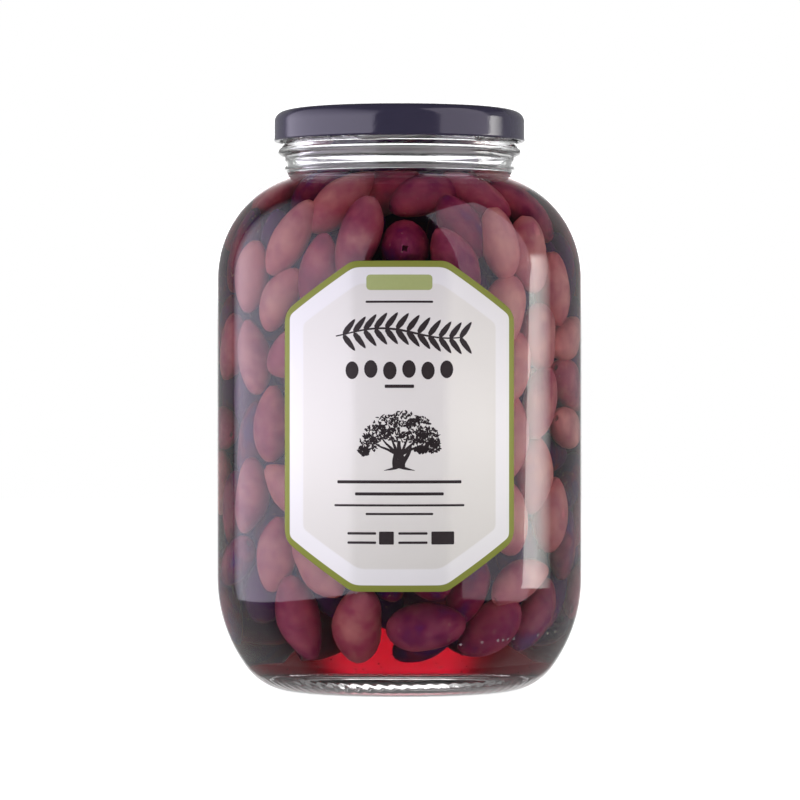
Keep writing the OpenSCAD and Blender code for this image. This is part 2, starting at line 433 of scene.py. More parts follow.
def insideRadius(z, gap):
    # how far from the axis a ball of that radius may lie
    z = np.asarray(z, float)
    low = heelX + np.sqrt(np.maximum((innerHeelR - gap) ** 2 - (heelZ - z) ** 2, 0))
    high = shoulderX + np.sqrt(np.maximum((innerShoulderR - gap) ** 2 - (z - shoulderZ) ** 2, 0))
    reach = np.full_like(z, bodyR - glass["wall"]) - gap
    reach = np.where(z < heelZ, np.minimum(reach, low), reach)
    return np.where(z > shoulderZ, np.minimum(reach, np.maximum(high, mouthR - gap)), reach)


def oliveMaster(name, pointed, slit):
    # an egg with a pit hole at one end and a star slit at the other
    clearSelection()
    bpy.ops.mesh.primitive_uv_sphere_add(segments=olive["segments"], ring_count=olive["rings"], radius=mm)
    piece = bpy.context.object
    piece.name = piece.data.name = name
    setMode("EDIT")
    bpy.ops.mesh.select_mode(type="FACE")
    blunt = olive["slitDepth"] if slit else olive["dimpleDepth"]
    for end, depth in ((1, olive["holeDepth"]), (-1, blunt)):
        markAll("DESELECT")
        setMode("OBJECT")
        for face in piece.data.polygons:
            face.select = len(face.vertices) == 3 and face.center.z * end > 0
        setMode("EDIT")
        bpy.ops.mesh.dissolve_faces()
        bpy.ops.mesh.inset(thickness=0.04 * mm)
        bpy.ops.mesh.extrude_region_move(TRANSFORM_OT_translate={"value": (0, 0, -end * 0.12 * mm)})
        bpy.ops.transform.resize(value=(0.8, 0.8, 1))
        bpy.ops.mesh.extrude_region_move(TRANSFORM_OT_translate={"value": (0, 0, -end * depth / 12 * mm)})
        bpy.ops.transform.resize(value=(0.7, 0.7, 1))
    bpy.ops.mesh.select_mode(type="VERT")
    setMode("OBJECT")
    points = readPoints(piece) / mm
    along = points[:, 2]
    narrow = 1 - pointed * np.clip(-along, 0, 1) ** 2 - 0.06 * np.clip(along, 0, 1) ** 3
    turn = np.arctan2(points[:, 1], points[:, 0])
    near = np.hypot(points[:, 0], points[:, 1])
    if slit:
        star = 1 + 0.45 * np.cos(4 * turn) * np.clip(1 - near / 0.34, 0, 1) ** 0.5
        narrow = np.where(along < 0, narrow * star, narrow)
    points[:, 0] *= olive["midR"] * narrow
    points[:, 1] *= olive["midR"] * narrow
    points[:, 2] *= olive["halfLong"]
    writePoints(piece, points * mm)
    setMode("EDIT")
    markAll("SELECT")
    closeUp()
    return piece


# olives that lie against the glass where the label leaves it clear: azimuth from the label's middle,
# height, lean from upright, turn towards the glass, size, tone, gap to the wall
heroes = [
    (-28, 160.5, 42, 0, 1.04, 0.72, 0), (-15, 150, 15, 0, 1.06, 0.60, 0), (-43, 150, 30, 0, 1.0, 0.85, 0),
    (-30, 138, 5, 0, 1.06, 0.38, 1.5), (-46, 131, 34, 0, 0.92, 0.85, 0), (-39, 114, 52, 0, 1.04, 0.66, 0),
    (-34, 93, 12, 0, 1.06, 0.95, 0), (-50, 90, 4, 0, 1.0, 0.62, 0), (-40, 67.5, -56, 0, 1.02, 0.85, 0),
    (-48, 47, 8, 0, 0.98, 0.72, 0), (-30, 45, -30, 0, 1.06, 0.74, 0), (-40, 27, -12, 0, 1.06, 0.36, 1),
    (-16, 26.5, 18, 35, 1.12, 0.70, 0), (10, 24.5, 84, 0, 1.10, 0.34, 0), (37, 24, 34, 20, 1.04, 0.40, 0),
    (27, 38, 0, 20, 1.0, 0.32, 3.0), (1.5, 146.5, 0, 88, 1.14, 0.26, 1), (-5, 162, 60, 50, 1.0, 0.50, 0),
    (15, 163, 78, 0, 1.0, 0.34, 0.5), (35, 161, -54, 0, 1.04, 0.50, 0), (21, 141, -16, 0, 1.06, 0.40, 1),
    (26, 153, -32, 0, 0.96, 0.22, 3.0), (39, 148, -4, 0, 1.0, 0.92, 0), (51, 145, 6, 0, 1.06, 0.85, 0),
    (40, 127, 6, 0, 1.08, 0.95, 0), (43, 107, 18, 0, 1.04, 1.0, 0), (41, 86, 10, 0, 1.10, 0.95, 0),
    (55, 73, 5, 0, 1.02, 0.80, 0), (41, 59, -10, 0, 1.08, 0.92, 0), (31, 77, -22, 0, 0.96, 0.60, 2.5),
    (46, 38.5, 64, 0, 0.98, 0.70, 0), (56, 118, -8, 0, 1.0, 0.80, 0), (58, 97, 14, 0, 1.0, 0.72, 0),
    (-60, 112, -14, 0, 1.0, 0.70, 0), (-62, 138, 10, 0, 1.0, 0.80, 0), (-62, 66, 12, 0, 1.0, 0.66, 0),
    (62, 158, -42, 0, 1.0, 0.34, 1.0), (66, 134, -6, 0, 1.04, 0.72, 0), (64, 60, 8, 0, 1.0, 0.72, 0)]


def alongWall(azimuth, z, lean, turn):
    # a direction that leans along the wall and turns from it towards the glass
    out, sideways = outAndAcross(azimuth)
    tilt = math.asin(min(max((z - shoulderZ) / innerShoulderR, 0), 0.9))
    tilt -= math.asin(min(max((heelZ - z) / innerHeelR, 0), 0.9))
    rise = np.array([0, 0, math.cos(tilt)]) - out * math.sin(tilt)
    lean, turn = math.radians(lean), math.radians(turn)
    inWall = math.sin(lean) * sideways + math.cos(lean) * rise
    return inWall * math.cos(turn) + out * math.sin(turn), out


def packOlives():
    rng = np.random.default_rng(bed["seed"])
    count, placed = bed["count"], len(heroes)
    size = rng.normal(1.0, 0.055, count).clip(0.86, 1.12)
    tone = rng.beta(1.7, 1.7, count)
    angle = rng.uniform(0, 2 * math.pi, count)
    ring = np.sqrt(rng.uniform((bed["coreR"] + 7) ** 2, 50 ** 2, count))
    height = rng.uniform(bed["floor"] + 9, brineTop - 6, count)
    middle = np.stack([ring * np.cos(angle), ring * np.sin(angle), height], 1)
    way = rng.normal(size=(count, 3)) * (1, 1, 1.25)
    for i, (front, z, lean, turn, grown, shade, gap) in enumerate(heroes):
        size[i], tone[i] = grown, shade
        way[i], out = alongWall(front, z, lean, turn)
        room = bed["midR"] * grown + 5.0 * math.sin(math.radians(turn))
        middle[i] = out * (float(insideRadius(z, room)) - gap) + (0, 0, z)
    way /= np.linalg.norm(way, axis=1)[:, None]
    radii = np.stack([bed["endR"] * size, bed["midR"] * size, bed["endR"] * size], 1)
    spread = bed["reach"] * size
    spots = np.stack([middle - way * spread[:, None], middle, middle + way * spread[:, None]], 1)
    asPlaced = spots[:placed].copy()
    owner = np.repeat(np.arange(count), 3)
    flatR = radii.ravel()
    # some of the loose ones keep back from the glass, so that dark gaps show between the others
    shy = rng.choice(bed["shy"], count)
    shy[:placed] = 0
    shy = np.repeat(shy, 3)
    yields = np.where(owner < placed, bed["placedYield"], 1.0)
    for step in range(bed["rounds"]):
        flat = spots.reshape(-1, 3)
        if step % bed["lookEvery"] == 0:
            # the pairs that may meet before the next look
            far = ((flat[:, None, :] - flat[None, :, :]) ** 2).sum(2)
            meet = far < (flatR[:, None] + flatR[None, :] + 5) ** 2
            first, second = np.nonzero(np.triu(meet & (owner[:, None] != owner[None, :])))
            share = yields[first] / (yields[first] + yields[second])
            touch = flatR[first] + flatR[second]
        gap = flat[first] - flat[second]
        far = np.sqrt((gap ** 2).sum(1)) + 1e-9
        press = gap * (np.maximum(touch - far, 0) / far)[:, None] * bed["press"]
        shift = np.zeros_like(flat)
        for axis in range(3):
            shift[:, axis] = (np.bincount(first, press[:, axis] * share, len(flat))
                              - np.bincount(second, press[:, axis] * (1 - share), len(flat)))
        flat = flat + shift * bed["ease"]
        # the walls, the floor, the level and the core
        away = np.hypot(flat[:, 0], flat[:, 1]) + 1e-9
        most = insideRadius(flat[:, 2], flatR + shy)
        near = np.where(away > most, most / away, 1)
        near = np.where(away < bed["coreR"] + flatR * 0.7, (bed["coreR"] + flatR * 0.7) / away, near)
        if step < bed["rounds"] * bed["driftUntil"]:
            near = np.where(near == 1, 1 + bed["drift"] * (away > 38), near)
        flat[:, :2] *= near[:, None]
        # they float up, so the liquid under them is deeper towards the back
        bottom = bed["floor"] + bed["backFloor"] * np.clip((flat[:, 1] + 30) / 50, 0, 1)
        flat[:, 2] = np.clip(flat[:, 2], bottom + flatR, brineTop + bed["top"] - flatR)
        moved = flat.reshape(-1, 3, 3)
        aim = moved[:, 2] - moved[:, 0]
        centre = moved.mean(1)
        # the outer ones turn their sides to the glass
        out = centre * (1, 1, 0)
        reach = np.linalg.norm(out, axis=1) + 1e-9
        out /= reach[:, None]
        lift = (aim * out).sum(1)
        aim -= out * (lift * np.clip((reach - 36) / 10, 0, 1) * bed["turnOut"])[:, None]
        aim /= np.linalg.norm(aim, axis=1)[:, None]
        spots = np.stack([centre - aim * spread[:, None], centre, centre + aim * spread[:, None]], 1)
        spots[:placed] += (asPlaced - spots[:placed]) * bed["returnShare"]
    aim = spots[:, 2] - spots[:, 0]
    aim /= np.linalg.norm(aim, axis=1)[:, None]
    # painted shade: the loose olives further in from the glass, and those low in the jar, are given darker
    # skins
    depth = insideRadius(spots[:, 1, 2], radii[:, 1]) - np.hypot(spots[:, 1, 0], spots[:, 1, 1])
    paintedShadeTone = (0.15 + 0.85 * tone) * np.clip(1 - depth / 7, 0.0, 1)
    paintedShadeTone = paintedShadeTone * np.clip((spots[:, 1, 2] - 12) / 40, 0.25, 1)
    tone = np.where(np.arange(count) < placed, tone, paintedShadeTone)
    return spots[:, 1], aim, size, tone, rng


middles, aims, sizes, tones, rng = packOlives()
print("olives packed", len(sizes))

# name, how pointed, whether its end has a slit, size across and along
oliveKinds = [("oliveLong", 0.10, False, 0.97, 1.05), ("oliveRound", 0.02, True, 1.04, 0.93),
              ("olivePointed", 0.24, True, 1.0, 1.04)]
kinds = [oliveMaster(name, pointed, slit) for name, pointed, slit, across, along in oliveKinds]
batches = [[], [], []]
for i in range(len(sizes)):
    pick = int(rng.integers(0, 3))
    one = copyOf(kinds[pick])
    points = readPoints(one) / mm
    across, along = oliveKinds[pick][3:]
    points *= (across * sizes[i], across * sizes[i] * rng.uniform(0.93, 1.05), along * sizes[i])
    # soft dents and a slight bend
    for _ in range(olive["dents"]):
        axis = rng.normal(size=3)
        axis /= np.linalg.norm(axis)
        phase = rng.uniform(0, 6.28)
        wave = np.sin(points @ axis * rng.uniform(0.18, 0.42) + phase)
        points[:, :2] *= (1 + rng.uniform(0.012, 0.042) * wave)[:, None]
    taper = np.clip(points[:, 2] * rng.choice((-1, 1)) / 12, 0, 1) ** 1.5
    points[:, :2] *= (1 - rng.uniform(0, 0.16) * taper)[:, None]
    points[:, 0] += rng.uniform(-0.013, 0.013) * points[:, 2] ** 2
    spin = rng.uniform(0, 2 * math.pi)
    aim = aims[i] * (rng.choice((-1, 1)) if i >= len(heroes) else -1)
    side = np.cross(aim, (math.cos(spin), math.sin(spin), 0.3))
    side /= np.linalg.norm(side)
    points = points @ np.stack([side, np.cross(aim, side), aim])
    writePoints(one, (points + middles[i]) * mm)
    giveTone(one, tones[i])
    batches[pick].append(one)

oliveSkin = Finish("oliveSkin", Roughness=0.45, Specular_IOR_Level=0.06)
place = oliveSkin.place()
# the tone attribute: each olive's own skin tone, with painted shade in it on the deeper and lower loose
# olives and on the heap
shade = oliveSkin.node("ShaderNodeAttribute", {"attribute_name": "tone"}, output=2)
blotch = oliveSkin.noise(place, 190, 3, 0.55)
streak = oliveSkin.noise(place, 75, 2, 0.5)
tone = (shade * 0.92 + (streak - 0.5) * 0.85 + (blotch - 0.5) * 0.5).rise(0.0, 1.0)
skin = oliveSkin.node("ShaderNodeValToRGB", {"stops": [
    (0.0, (0.080, 0.006, 0.190)), (0.20, (0.24, 0.012, 0.095)),
    (0.50, (0.52, 0.11, 0.18)), (1.0, (0.95, 0.46, 0.38))]},
    {"Fac": tone})
speck = oliveSkin.noise(place, 620, 2, 0.6).rise(0.66, 0.72)
oliveSkin.feed("Base Color", oliveSkin.mix(speck * 0.35, skin, (0.62, 0.36, 0.33)))
oliveSkin.bump(blotch, 0.35, 0.0006)

for batch, master in zip(batches, kinds):
    name = master.name
    bpy.data.objects.remove(master)
    piece = joinAll(batch, name)
    finishPiece(piece, oliveSkin.material, "filling")
    print(name, len(piece.data.polygons))

# the middle of the heap, out of sight behind the outer olives
heap = dict(radius=bed["coreR"] - 1, low=42, high=158, under=12, over=9, swell=0.07, ripple=0.04)


def heapEnd(z, swing, degrees):
    # a rounded end of the heap
    turns = [math.radians(a) for a in degrees]
    return [(heap["radius"] * math.cos(a), z + swing * math.sin(a)) for a in turns]


coreOutline = [(0, heap["low"] - heap["under"])] + heapEnd(heap["low"], heap["under"], range(-72, 1, 12))
coreOutline += line((heap["radius"], heap["low"]), (heap["radius"], heap["high"]), 6)
coreOutline += heapEnd(heap["high"], heap["over"], range(0, 80, 16)) + [(0, heap["high"] + heap["over"])]
core = lathe("oliveCore", coreOutline, 40)
points = readPoints(core) / mm
azimuth = np.arctan2(points[:, 1], points[:, 0])
swell = 1 + heap["swell"] * np.sin(azimuth * 5 + points[:, 2] * 0.16) * np.cos(points[:, 2] * 0.31)
swell = swell + heap["ripple"] * np.sin(azimuth * 3 - points[:, 2] * 0.23)
points[:, :2] *= swell[:, None]
writePoints(core, points * mm)
# painted shade: the heap takes the darkest skin tone
giveTone(core, 0.0)
finishPiece(core, oliveSkin.material, "filling")

# sediment, bubbles and mould dots

# the dots are given by their azimuth from the label's middle; their row climbs slightly from dotFrom on
bits = dict(specks=90, specksInFront=70, speckRise=7.0, bubbles=16,
            dots=(20.4, 28, 34, 36, 38, 40.5, 51.6, 57, 62), dotR=0.45, dotZ=18.2, dotFrom=20, dotClimb=0.07)


def scatter(name, spots, sizes, flat, rng):
    # one small rough ball, copied
    clearSelection()
    bpy.ops.mesh.primitive_ico_sphere_add(subdivisions=2 if flat == 1 else 1, radius=mm)
    first = bpy.context.object
    shape = readPoints(first) / mm
    copies = []
    for spot, size in zip(spots, sizes):
        one = copyOf(first)
        rough = 1 if flat == 1 else rng.uniform(0.6, 1.4, (len(shape), 1))
        writePoints(one, (shape * rough * (1, 1, flat) * size + spot) * mm)
        copies.append(one)
    bpy.data.objects.remove(first)
    piece = joinAll(copies, name)
    editAll(piece)
    closeUp()
    return piece


bitRng = np.random.default_rng(8)
spots = []
for i in range(bits["specks"]):
    # lying where the floor curves up into the heel
    side = bitRng.uniform(-155, -25) if i < bits["specksInFront"] else bitRng.uniform(0, 360)
    z = glass["floor"] + 0.4 + bits["speckRise"] * bitRng.uniform(0, 1) ** 1.5
    reach = cornerX + math.sqrt(cornerR ** 2 - (cornerZ - z) ** 2) - 0.45
    spots.append(around(reach, side, z))
specks = scatter("specks", spots, bitRng.uniform(0.15, 0.45, bits["specks"]), 0.45, bitRng)
speckSkin = Finish("speckSkin", Roughness=0.6, Specular_IOR_Level=0.1)
speckSkin.clouded(300, 2, (0.012, 0.006, 0.006), (0.07, 0.02, 0.015))
finishPiece(specks, speckSkin.material, "filling")

spots = []
for _ in range(bits["bubbles"]):
    side, z = bitRng.uniform(-170, -10), brineTop - bitRng.exponential(1.2) - 0.5
    reach = float(insideRadius(z, 0.7))
    spots.append(around(reach, side, z))
bubbles = scatter("bubbles", spots, bitRng.uniform(0.25, 0.6, bits["bubbles"]), 1, bitRng)
airSkin = Finish("airSkin", Transmission_Weight=1.0, IOR=1.5, Roughness=0.0)
airSkin.clouded(300, 1, (0.97, 0.97, 0.97), (1, 1, 1))
finishPiece(bubbles, airSkin.material, "filling")

# a row of small mould dots low on the glass, to the right of the label
spots = []
for front in bits["dots"]:
    z = bits["dotZ"] + bits["dotClimb"] * (front - bits["dotFrom"])
    reach = heelX + math.sqrt(glass["heelR"] ** 2 - (heelZ - z) ** 2) - 0.14
    spots.append(around(reach, front - 90, z))
dots = scatter("mouldDots", spots, [bits["dotR"]] * len(spots), 1, bitRng)
finishPiece(dots, clearGlass.material, "glass")

# cap

cap = dict(sheet=0.3, edgeR=4.0, hem=1.6, panelDrop=0.9, panelClear=0.7, steps=300,
           lugs=6, lugIn=0.9, lugSweep=11, lugGap=1.0, lugEnd=2.2)

hemR = cap["hem"] / 2
topEdgeX = capR - cap["edgeR"]
topEdgeZ = capTop - cap["edgeR"]
stepX = mouthR - cap["panelClear"]
panelZ = capTop - cap["panelDrop"]
hemTurn = math.degrees(math.acos((hemR - cap["sheet"]) / hemR))
capOutline = [(0, panelZ)] + line((0, panelZ), (stepX - 0.8, panelZ), 4)
capOutline += [(stepX - 0.8, panelZ), (stepX - 0.1, panelZ + 0.1), (stepX + 0.4, panelZ + 0.45),
               (stepX + 0.9, capTop - 0.1), (stepX + 1.5, capTop)]
capOutline += arc(topEdgeX, topEdgeZ, cap["edgeR"], 90, 0, 7.5)
capOutline += line((capR, topEdgeZ), (capR, capLow + hemR), 0.6)
capOutline += arc(capR - hemR, capLow + hemR, hemR, 0, -360 + hemTurn, 15)
capOutline += line(capOutline[-1], (capR - cap["sheet"], topEdgeZ), 1.5)
capOutline += arc(topEdgeX, topEdgeZ, cap["edgeR"] - cap["sheet"], 0, 90, 10)
underZ = panelZ - cap["sheet"]
capOutline += [(stepX + 1.6, capTop - cap["sheet"]), (stepX + 0.5, underZ + 0.3), (stepX - 0.4, underZ)]
capOutline += line((stepX - 0.4, underZ), (0, underZ), 6) + [(0, underZ)]
lugCap = lathe("lugCap", capOutline, cap["steps"])
points = readPoints(lugCap) / mm
radius, azimuth = polar(points)
inner = np.clip((capR - hemR - radius) / hemR, 0, 1) * (points[:, 2] < capLow + cap["hem"] + 0.1)
lift = np.zeros(len(points))
for i in range(cap["lugs"]):
    middle = -90 + glass["ridgeStart"] - cap["lugGap"] - cap["lugSweep"] / 2 + i * 360 / cap["lugs"]
    turn = np.abs((azimuth - middle + 180) % 360 - 180)
    lift = np.maximum(lift, np.clip((cap["lugSweep"] / 2 - turn) / cap["lugEnd"], 0, 1))
points[:, :2] *= (1 - lift * inner ** 0.5 * cap["lugIn"] / radius.clip(1))[:, None]
writePoints(lugCap, points * mm)

capLacquer = Finish("capLacquer", Roughness=0.12, Specular_IOR_Level=0.55)
place = capLacquer.place()
grain = capLacquer.noise(place, 900, 3, 0.6)
cloud = capLacquer.noise(place, 55, 2)
capLacquer.feed("Base Color", capLacquer.mix(cloud, (0.030, 0.028, 0.048), (0.042, 0.038, 0.062)))
capLacquer.feed("Roughness", 0.08 + cloud * 0.06)
capLacquer.bump(grain, 0.12, 0.0002)
finishPiece(lugCap, capLacquer.material, "cap", "cap")
# the inside of the sheet is enamelled pale
capLining = Finish("capLining", Roughness=0.35, Specular_IOR_Level=0.5)
capLining.clouded(400, 2, (0.74, 0.73, 0.71), (0.80, 0.79, 0.77))
lugCap.data.materials.append(capLining.material)
for face in lugCap.data.polygons:
    middle = face.center / mm
    inward = face.normal.x * middle.x + face.normal.y * middle.y < 0
    ceiling = face.normal.z < -0.3 and middle.z > capLow + 3
    skirt = inward and middle.z > capLow + 2 and math.hypot(middle.x, middle.y) > stepX + 2.5
    face.material_index = int(ceiling or skirt)
print("cap", len(lugCap.data.polygons))

# label

label = dict(width=80.4, cornerW=24.6, cornerH=16.4, border=2.05, white=5.3, paper=0.08, glue=0.02,
             round=7.0, soften=2.0, strip=1.4)


def wrapRound(piece, radius):
    # the flat sheet's x goes round the jar and its y goes up
    points = readPoints(piece) / mm
    turn = points[:, 0] / bodyR
    reach = radius + points[:, 2]
    writePoints(piece, np.stack([reach * np.sin(turn), -reach * np.cos(turn), points[:, 1]], 1) * mm)


def octagon():
    # the label's outline with cut corners
    halfW, halfH = label["width"] / 2, (labelTop - labelLow) / 2
    cornerW, cornerH = label["cornerW"], label["cornerH"]
    return [(halfW - cornerW, halfH), (cornerW - halfW, halfH),
            (-halfW, halfH - cornerH), (-halfW, cornerH - halfH),
            (cornerW - halfW, -halfH), (halfW - cornerW, -halfH),
            (halfW, cornerH - halfH), (halfW, halfH - cornerH)]


def roundedOctagon(radius, parts=6):
    corners = octagon()
    outline = []
    for i, corner in enumerate(corners):
        here = np.array(corner)
        back = np.array(corners[i - 1]) - here
        ahead = np.array(corners[(i + 1) % 8]) - here
        back /= np.linalg.norm(back)
        ahead /= np.linalg.norm(ahead)
        half = math.acos(float(np.clip(back @ ahead, -1, 1))) / 2
        start = here + back * radius / math.tan(half)
        end = here + ahead * radius / math.tan(half)
        for k in range(parts + 1):
            t = k / parts
            outline.append(tuple((1 - t) ** 2 * start + 2 * t * (1 - t) * here + t ** 2 * end))
    return outline


def flatShape(name, outline):
    # a filled circle with as many points as the outline, drawn out to it
    clearSelection()
    bpy.ops.mesh.primitive_circle_add(vertices=len(outline), radius=mm, fill_type="NGON")
    piece = bpy.context.object
    piece.name = piece.data.name = name
    shape = np.array([(x, y, 0.0) for x, y in outline])
    writePoints(piece, shape * mm)
    editAll(piece)
    bpy.ops.mesh.normals_make_consistent(inside=False)
    setMode("OBJECT")
    if piece.data.polygons[0].normal.z < 0:
        editAll(piece)
        bpy.ops.mesh.flip_normals()
        setMode("OBJECT")
    return piece


def cutStrips(piece, step):
    # cuts along lines that stand upright, so that the sheet can bend
    editAll(piece)
    bpy.context.scene.cursor.location = (0, 0, 0)
    count = int(label["width"] / 2 / step)
    for i in range(-count, count + 1):
        markAll("SELECT")
        bpy.ops.mesh.bisect(plane_co=(i * step * mm, 0, 0), plane_no=(1, 0, 0))
    setMode("OBJECT")


midZ = (labelTop + labelLow) / 2
paper = flatShape("labelPaper", [(x, y + midZ) for x, y in roundedOctagon(label["round"])])
cutStrips(paper, label["strip"])
layer = paper.data.uv_layers.new(name="unrolled")
flat = readPoints(paper) / mm
corner = np.array([loop.vertex_index for loop in paper.data.loops])
layer.data.foreach_set("uv", (flat[corner][:, :2] - (0, midZ)).ravel() / 100 + 0.5)
wrapRound(paper, bodyR + label["glue"])
selectOnly(paper)
bpy.ops.object.shade_smooth()
thick = paper.modifiers.new("thickness", "SOLIDIFY")
thick.thickness = (label["paper"] - label["glue"]) * mm
thick.offset = 1
bpy.ops.object.modifier_apply(modifier="thickness")

labelPrint = Finish("labelPrint", Roughness=0.5, Specular_IOR_Level=0.35)
across, up = [(part - 0.5) * 100 for part in labelPrint.split("unrolled")]
slant = math.hypot(label["cornerW"], label["cornerH"])
halfW, halfH = label["width"] / 2, (labelTop - labelLow) / 2
toSide = abs(across) - halfW
toTop = abs(up) - halfH
slope = (abs(across) - (halfW - label["cornerW"])) * (label["cornerH"] / slant)
toCorner = slope + (abs(up) - halfH) * (label["cornerW"] / slant)
# how far inside the edge a point lies, with the corners of the fields rounded
nearest = toSide.sum("SMOOTH_MAX", toTop, 1.2).sum("SMOOTH_MAX", toCorner, label["soften"]) * -1
fibre = labelPrint.noise(labelPrint.place(), 1400, 3, 0.6)
green = labelPrint.mix(fibre, (0.225, 0.255, 0.038), (0.255, 0.285, 0.046))
white = (0.85, 0.86, 0.82)
# painted sheen: the grey field is lighter towards the top
paintedSheen = ((up + halfH) / (2 * halfH)).rise(0.0, 1.0)
grey = labelPrint.mix(paintedSheen, (0.74, 0.74, 0.66), (0.80, 0.80, 0.725))
border, field = label["border"], label["border"] + label["white"]
fields = labelPrint.mix(nearest.rise(border - 0.07, border + 0.07), green, white)
fields = labelPrint.mix(nearest.rise(field - 0.25, field + 0.25), fields, grey)
labelPrint.feed("Base Color", fields)
labelPrint.bump(fibre, 0.08, 0.0001)
finishPiece(paper, labelPrint.material, "label", "label")
print("label", len(paper.data.polygons))

# print on the label

tree = dict(foot=(0.0, 75.6), leaves=1150, seed=21)
inkLevel, plaqueLevel, inkStrip = 0.105, 0.10, 2.0       # off the glass, and between two cuts


def stroke(points, widths):
    # a ribbon that narrows as it goes
    left, right = [], []
    for i, here in enumerate(points):
        ahead = np.array(points[min(i + 1, len(points) - 1)]) - np.array(points[max(i - 1, 0)])
        ahead = ahead / (np.linalg.norm(ahead) + 1e-9)
        side = np.array([-ahead[1], ahead[0]]) * widths[i] / 2
        left.append(tuple(np.array(here) + side))
        right.append(tuple(np.array(here) - side))
    return right + left[::-1]


def bar(x, y, width, height, cornerR=0.3):
    outline = []
    for sx, sy, start in ((1, 1, 0), (-1, 1, 90), (-1, -1, 180), (1, -1, 270)):
        midX, midY = x + sx * (width / 2 - cornerR), y + sy * (height / 2 - cornerR)
        outline += arc(midX, midY, cornerR, start, start + 90, 30)
    return outline


def leafShape(x, y, length, width, turn):
    outline = []
    for k in range(10):
        t = 2 * math.pi * k / 10
        along = math.cos(t) * length / 2
        side = math.sin(t) * width / 2 * (1 - 0.35 * math.cos(t))
        outline.append((x + along * math.cos(turn) - side * math.sin(turn),
                        y + along * math.sin(turn) + side * math.cos(turn)))
    return outline


inkShapes = []
# a sprig with leaves and fruit where a heading would stand
sprigY = 119.5
stem = [(-21 + 42 * i / 24, sprigY + 1.6 * math.sin(i / 24 * 6.0 - 0.6)) for i in range(25)]
inkShapes.append(stroke(stem, [0.75 - 0.35 * abs(i - 12) / 12 for i in range(25)]))
for i in range(1, 24, 2):
    x, y = stem[i]
    for side in (1, -1):
        lean = side * math.radians(52)
        inkShapes.append(leafShape(x + 1.0 + 2.9 * math.cos(lean), y + 3.3 * math.sin(lean), 6.6, 1.9, lean))
for x, y in ((-15.5, 107.5), (-9.3, 107.9), (-3.1, 107.4), (3.1, 107.9), (9.3, 107.4), (15.5, 107.8)):
    inkShapes.append([(x + 2.2 * math.cos(t * math.pi / 9), y + 2.9 * math.sin(t * math.pi / 9))
                      for t in range(18)])
# quiet rows where small print would stand
for x, y, width, height in ((0, 129.7, 22, 0.7), (0, 102.3, 9.5, 1.1),
                            (0, 71.3, 41, 1.0), (0, 67.4, 29, 1.0), (0, 63.7, 43, 0.7), (0, 60.9, 22, 0.7),
                            (-12.3, 54.6, 9.5, 0.8), (-12.3, 51.6, 9.5, 0.8), (-4.2, 53.1, 4.8, 4.2),
                            (4.4, 54.6, 9.5, 0.8), (4.4, 51.6, 9.5, 0.8), (14.2, 53.1, 7.6, 4.2)):
    inkShapes.append(bar(x, y, width, height, min(0.3, height / 2.2)))
# a spreading tree of its own: trunk, limbs and a crown of small leaves
treeRng = np.random.default_rng(tree["seed"])
baseX, baseY = tree["foot"]
eighths = [k / 8 for k in range(9)]
for lean, thick, top in ((-0.6, 1.6, 8.0), (0.1, 2.0, 9.0), (1.0, 1.4, 7.6)):
    path = [(baseX + lean * 0.9 + lean * 2.6 * t + 0.5 * math.sin(t * 5 + lean * 4), baseY + top * t)
            for t in eighths]
    inkShapes.append(stroke(path, [thick * (1.45 - t) for t in eighths]))
for side in (-1, 1):
    for reach, rise, thick in ((9.5, 5.8, 0.9), (6.5, 8.2, 1.0), (3.0, 10.5, 0.9)):
        path = [(baseX + side * (0.6 + reach * t ** 0.85),
                 baseY + 4.6 + rise * t ** 1.2 + 0.4 * math.sin(t * 7))
                for t in eighths]
        inkShapes.append(stroke(path, [thick * (1.15 - t) for t in eighths]))
    path = [(baseX + side * 5.0 * t, baseY + 0.9 - 1.5 * t ** 0.6) for t in eighths[::2]]
    inkShapes.append(stroke(path, [1.2 * (1.1 - t) for t in eighths[::2]]))
# each clump: its middle from the foot, half its width and half its height
clumps = [(-10.0, 8.2, 3.2, 2.8), (-8.0, 11.5, 3.6, 2.8), (-4.0, 14.6, 4.4, 3.0), (1.5, 16.0, 4.6, 2.8),
          (6.3, 14.0, 4.0, 3.0), (9.8, 10.4, 3.4, 3.0), (11.0, 7.4, 2.6, 2.2), (-1.5, 11.0, 5.0, 2.2),
          (4.5, 10.0, 4.4, 2.0), (-11.6, 5.6, 1.8, 1.4), (7.0, 6.2, 2.2, 1.3)]
leaves = []
for _ in range(tree["leaves"]):
    x, y, w, h = clumps[int(treeRng.integers(0, len(clumps)))]
    reach, turn = math.sqrt(treeRng.uniform(0, 1)), treeRng.uniform(0, 6.28)
    leaves.append((baseX + x + w * reach * math.cos(turn), baseY + y + h * reach * math.sin(turn),
                   treeRng.uniform(0.7, 1.35), treeRng.uniform(0.34, 0.62), treeRng.uniform(0, 3.14)))

shapes = [flatShape("mark", outline) for outline in inkShapes]
leaf = flatShape("leaf", leafShape(0, 0, 1, 1, 0))
leafPoints = readPoints(leaf) / mm
for x, y, length, width, turn in leaves:
    one = copyOf(leaf)
    grown = leafPoints * (length, width, 1)
    along, over = math.cos(turn), math.sin(turn)
    writePoints(one, np.stack([x + grown[:, 0] * along - grown[:, 1] * over,
                               y + grown[:, 0] * over + grown[:, 1] * along, grown[:, 2]], 1) * mm)
    shapes.append(one)
bpy.data.objects.remove(leaf)
ink = joinAll(shapes, "labelInk")
cutStrips(ink, inkStrip)
wrapRound(ink, bodyR + inkLevel)
plaque = flatShape("labelPlaque", bar(0, 136.0, 21.5, 5.0, 1.2))
cutStrips(plaque, inkStrip)
wrapRound(plaque, bodyR + plaqueLevel)

